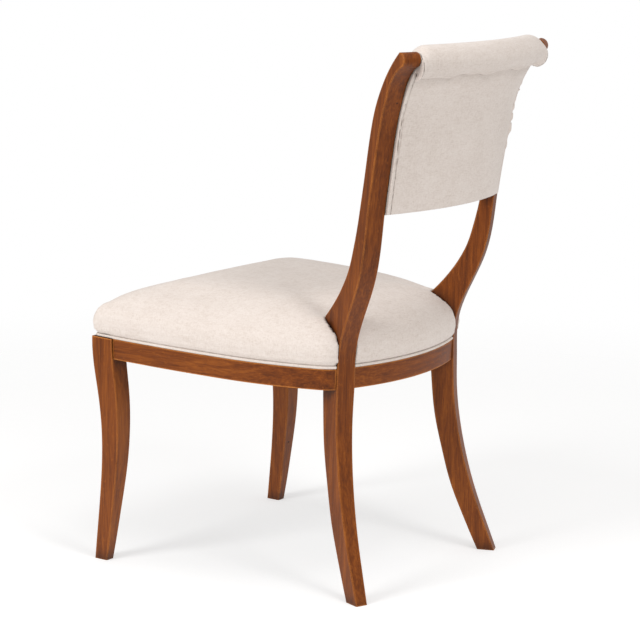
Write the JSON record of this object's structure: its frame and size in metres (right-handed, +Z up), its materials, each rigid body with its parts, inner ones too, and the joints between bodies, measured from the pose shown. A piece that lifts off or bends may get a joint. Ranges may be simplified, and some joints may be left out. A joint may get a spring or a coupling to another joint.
{
  "type": "klismos dining chair",
  "caption": "Wooden side chair with sabre legs, a domed upholstered seat and a padded, curved back that ends in a fabric roll between scrolled stiles.",
  "frame": {"origin": "on the floor, under the middle of the chair's bounding box", "axes": "+Z up, the chair faces -Y, the sitter's left hand is +X"},
  "size_m": [0.5664, 0.6742, 0.958],
  "materials": {
    "show_wood": "brown stain with a dark glaze, rubbed through on the edges, satin",
    "frame_wood": "bare sawn wood",
    "dowel_wood": "bare, glued in",
    "screw_steel": "zinc plated",
    "webbing": "woven jute",
    "foam": "open-cell foam",
    "cover_cloth": "plain off-white linen weave, matte",
    "cambric": "thin black cambric"
  },
  "bodies": {
    "root": {"front_leg_left": "show_wood", "front_leg_right": "show_wood", "rear_leg_left": "show_wood", "rear_leg_right": "show_wood", "front_rail": "show_wood", "rear_rail": "show_wood", "side_rail_left": "show_wood", "side_rail_right": "show_wood", "front_block_left": "frame_wood", "front_block_right": "frame_wood", "rear_block_left": "frame_wood", "rear_block_right": "frame_wood", "seat_frame_dowels": "dowel_wood", "corner_block_screws": "screw_steel", "seat_webbing": "webbing", "seat_foam": "foam", "seat_cover": "cover_cloth", "seat_welt": "cover_cloth", "dust_cover": "cambric", "dust_cover_tacks": "screw_steel", "lower_back_rail": "frame_wood", "crest_rail": "frame_wood", "back_board": "frame_wood", "back_frame_dowels": "dowel_wood", "back_board_screws": "screw_steel", "back_edge_strip_left": "cover_cloth", "back_edge_strip_right": "cover_cloth", "back_cover": "cover_cloth", "back_foam": "foam", "back_wadding": "foam", "roll_facing_left": "cover_cloth", "roll_facing_right": "cover_cloth", "roll_cover": "cover_cloth", "roll_foam": "foam"}
  },
  "joints": []
}
